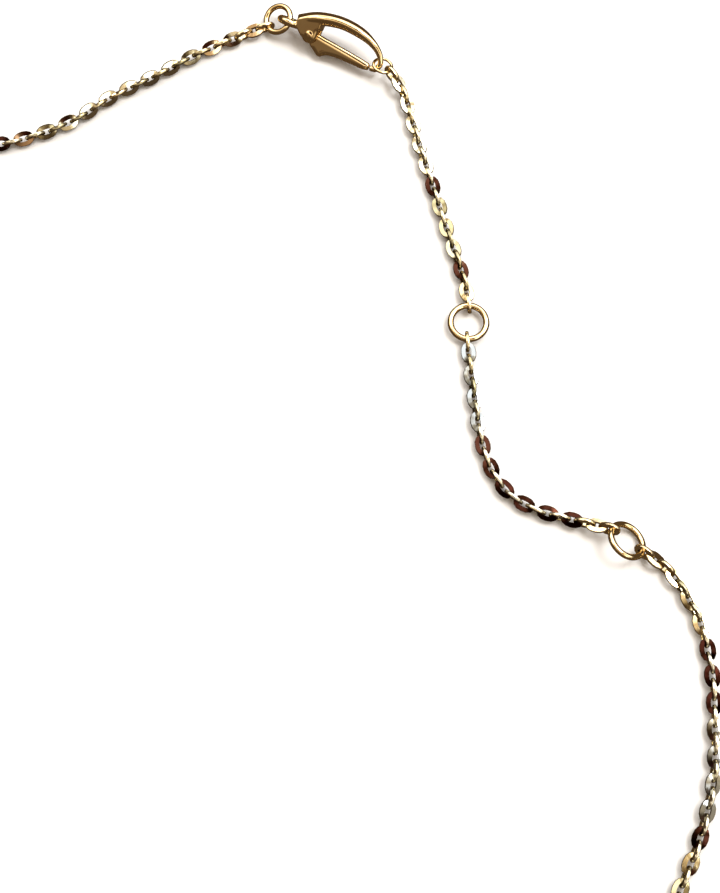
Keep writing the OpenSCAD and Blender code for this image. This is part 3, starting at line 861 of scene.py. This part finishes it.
# clear and colourless, with the faintest cloud of warmth
stoneLook = {
    "cloudScale": 900.0, "cloudDetail": 2.0, "cloudRoughness": 0.5, "refraction": 2.42,
    "colours": [(0.0, (0.93, 0.96, 1.0)), (1.0, (1.0, 0.99, 0.96))]
}
clearStone, stoneShader = newMaterial("clearStone")
stoneCloud = stoneShader.noise(
    stoneShader.node("ShaderNodeTexCoord").socket("Object"),
    stoneLook["cloudScale"], stoneLook["cloudDetail"], stoneLook["cloudRoughness"]
)
stoneShader.cover("ShaderNodeBsdfPrincipled", {
    "Base Color": stoneShader.ramp(stoneLook["colours"], stoneCloud), "Roughness": 0.0,
    "IOR": stoneLook["refraction"], "Transmission Weight": 1.0
})
cupPoints, cupFaces = castSolid(bezelShells(station), [], voxel=0.055, smoothing=4)
stonePoints, stoneFaces = brilliant(station)
for side, spot, heading in zip(["left", "centre", "right"], station["places"], station["headings"]):
    turn = turnAbout("z", heading)
    place = np.array([*spot, 0])
    cupHere = cupPoints @ turn.T + place
    makePiece(side + "Bezel", cupHere, cupFaces, ringGold, "necklace", [side + "_bezel"], sharp=40)
    stoneHere = stonePoints @ turn.T + place
    makePiece(
        side + "Stone", stoneHere, stoneFaces, clearStone, "necklace", [side + "_stone"], sharp=1
    )
print("stations: bezel", len(cupFaces), "faces, stone", len(stoneFaces))

# the floor, the backdrop and the light are in metres
floorLook = {"edge": 8.0, "drop": 0.00002, "colour": (0.9, 0.9, 0.91, 1), "roughness": 0.75}
floorMaterial, floorShader = newMaterial("paleFloor")
floorShader.cover("ShaderNodeBsdfPrincipled", {
    "Base Color": floorLook["colour"], "Roughness": floorLook["roughness"]
})
corners = np.array([[-1, -1, 0], [1, -1, 0], [1, 1, 0], [-1, 1, 0]]) * floorLook["edge"] / 2
floor = newObject("floor", corners, [[0, 1, 2, 3]], floorMaterial)
floor.location = (0, 0, -floorLook["drop"])
floor.visible_glossy = False

# a pale wall that stands round the floor hides the sky's dark horizon in low views; it lights nothing
backdropLook = {
    "radius": 3.9, "height": 3.0, "sides": 64, "colour": (1.0, 1.0, 0.98, 1), "strength": 1.0
}
backdropMaterial, backdropShader = newMaterial("paleBackdrop")
backdropShader.cover("ShaderNodeEmission", {
    "Color": backdropLook["colour"], "Strength": backdropLook["strength"]
})
wallOutline = backdropLook["radius"] * directions(backdropLook["sides"])
wall = onLevels(wallOutline, [-floorLook["drop"], backdropLook["height"]])
backdrop = newObject("backdrop", wall, gridFaces(2, backdropLook["sides"], False), backdropMaterial)
backdrop.visible_diffuse = False
backdrop.visible_glossy = False
backdrop.visible_transmission = False
backdrop.visible_shadow = False

keyLook = {
    "azimuth": 28.0, "elevation": 58.0, "away": 0.7, "size": 0.3, "power": 2.2,
    "colour": (1, 0.98, 0.95)
}
keyData = bpy.data.lights.new("keyLight", "AREA")
keyData.shape = "DISK"
keyData.size = keyLook["size"]
keyData.energy = keyLook["power"]
keyData.color = keyLook["colour"]
keyLight = bpy.data.objects.new("keyLight", keyData)
keyTurn = turnAbout("z", keyLook["azimuth"]) @ turnAbout("y", -keyLook["elevation"])
keyLight.location = keyTurn @ [keyLook["away"], 0, 0]
keyLight.rotation_euler = (0, math.radians(90 - keyLook["elevation"]), math.radians(keyLook["azimuth"]))
scene.collection.objects.link(keyLight)

# The sky is a dark oval cap overhead in a bright dome, patchy and warm where it dims. It darkens to one
# side and towards the horizon. The cap's stops are at half the distance from its middle, in its reaches.
skyLook = {
    "strength": 3.3, "horizon": (0.42, 0.62), "horizonColour": (0.03, 0.02, 0.012, 1),
    "patchScale": 2.6, "patchDetail": 2.0, "patchRoughness": 0.5, "patchShift": (0.4, 2.1, 0.5),
    "patch": (0.42, 0.5), "patchDim": 0.3, "sideTurn": 40.0, "side": (-0.65, -0.2), "farSide": 0.05,
    "warmth": [
        (0.0, (0.02, 0.01, 0.005)), (0.35, (0.33, 0.27, 0.19)), (0.75, (0.8, 0.76, 0.7)),
        (1.0, (1.0, 1.0, 1.0))
    ],
    "capTurn": -45.0, "capPlace": (0.17, -0.13), "capReach": (0.4, 0.2),
    "cap": [
        (0.3, (0.022, 0.0064, 0.0044)), (0.42, (0.06, 0.034, 0.02)), (0.5, (0.2, 0.17, 0.13)),
        (0.62, (1.0, 0.98, 0.95))
    ]
}
world = bpy.data.worlds.new("studio")
world.use_nodes = True
scene.world = world
sky = Shader(world.node_tree)
direction = sky.node("ShaderNodeTexCoord").socket("Generated")
parts = sky.node("ShaderNodeSeparateXYZ", {}, {"Vector": direction})
x, y, z = (parts.signal(axis) for axis in "XYZ")
capAlong = x * cosine(skyLook["capTurn"]) + y * sine(skyLook["capTurn"])
capAcross = y * cosine(skyLook["capTurn"]) - x * sine(skyLook["capTurn"])
capFar = (
    ((capAlong - skyLook["capPlace"][0]) / skyLook["capReach"][0]) ** 2.0
    + ((capAcross - skyLook["capPlace"][1]) / skyLook["capReach"][1]) ** 2.0
) ** 0.5
dome = sky.ramp(skyLook["cap"], capFar * 0.5)
sideways = x * cosine(skyLook["sideTurn"]) + y * sine(skyLook["sideTurn"])
share = sky.eased(sideways, skyLook["side"], skyLook["farSide"])
moved = sky.node("ShaderNodeVectorMath", {"operation": "ADD"}, {
    0: direction, 1: skyLook["patchShift"]
}).socket("Vector")
spread = sky.noise(moved, skyLook["patchScale"], skyLook["patchDetail"], skyLook["patchRoughness"])
patches = sky.eased(spread, skyLook["patch"], skyLook["patchDim"])
warm = sky.ramp(skyLook["warmth"], patches * share)
lit = sky.node("ShaderNodeVectorMath", {"operation": "MULTIPLY"}, {0: dome, 1: warm}).socket("Vector")
low = sky.eased(z, skyLook["horizon"])
glow = sky.node("ShaderNodeMix", {"data_type": "RGBA"}, {
    0: low, 6: skyLook["horizonColour"], 7: lit
}).socket(2)
sky.cover("ShaderNodeBackground", {
    "Color": glow, "Strength": skyLook["strength"]
}, "ShaderNodeOutputWorld")
scene.view_settings.view_transform = "Standard"
print("stage: floor, backdrop and light")
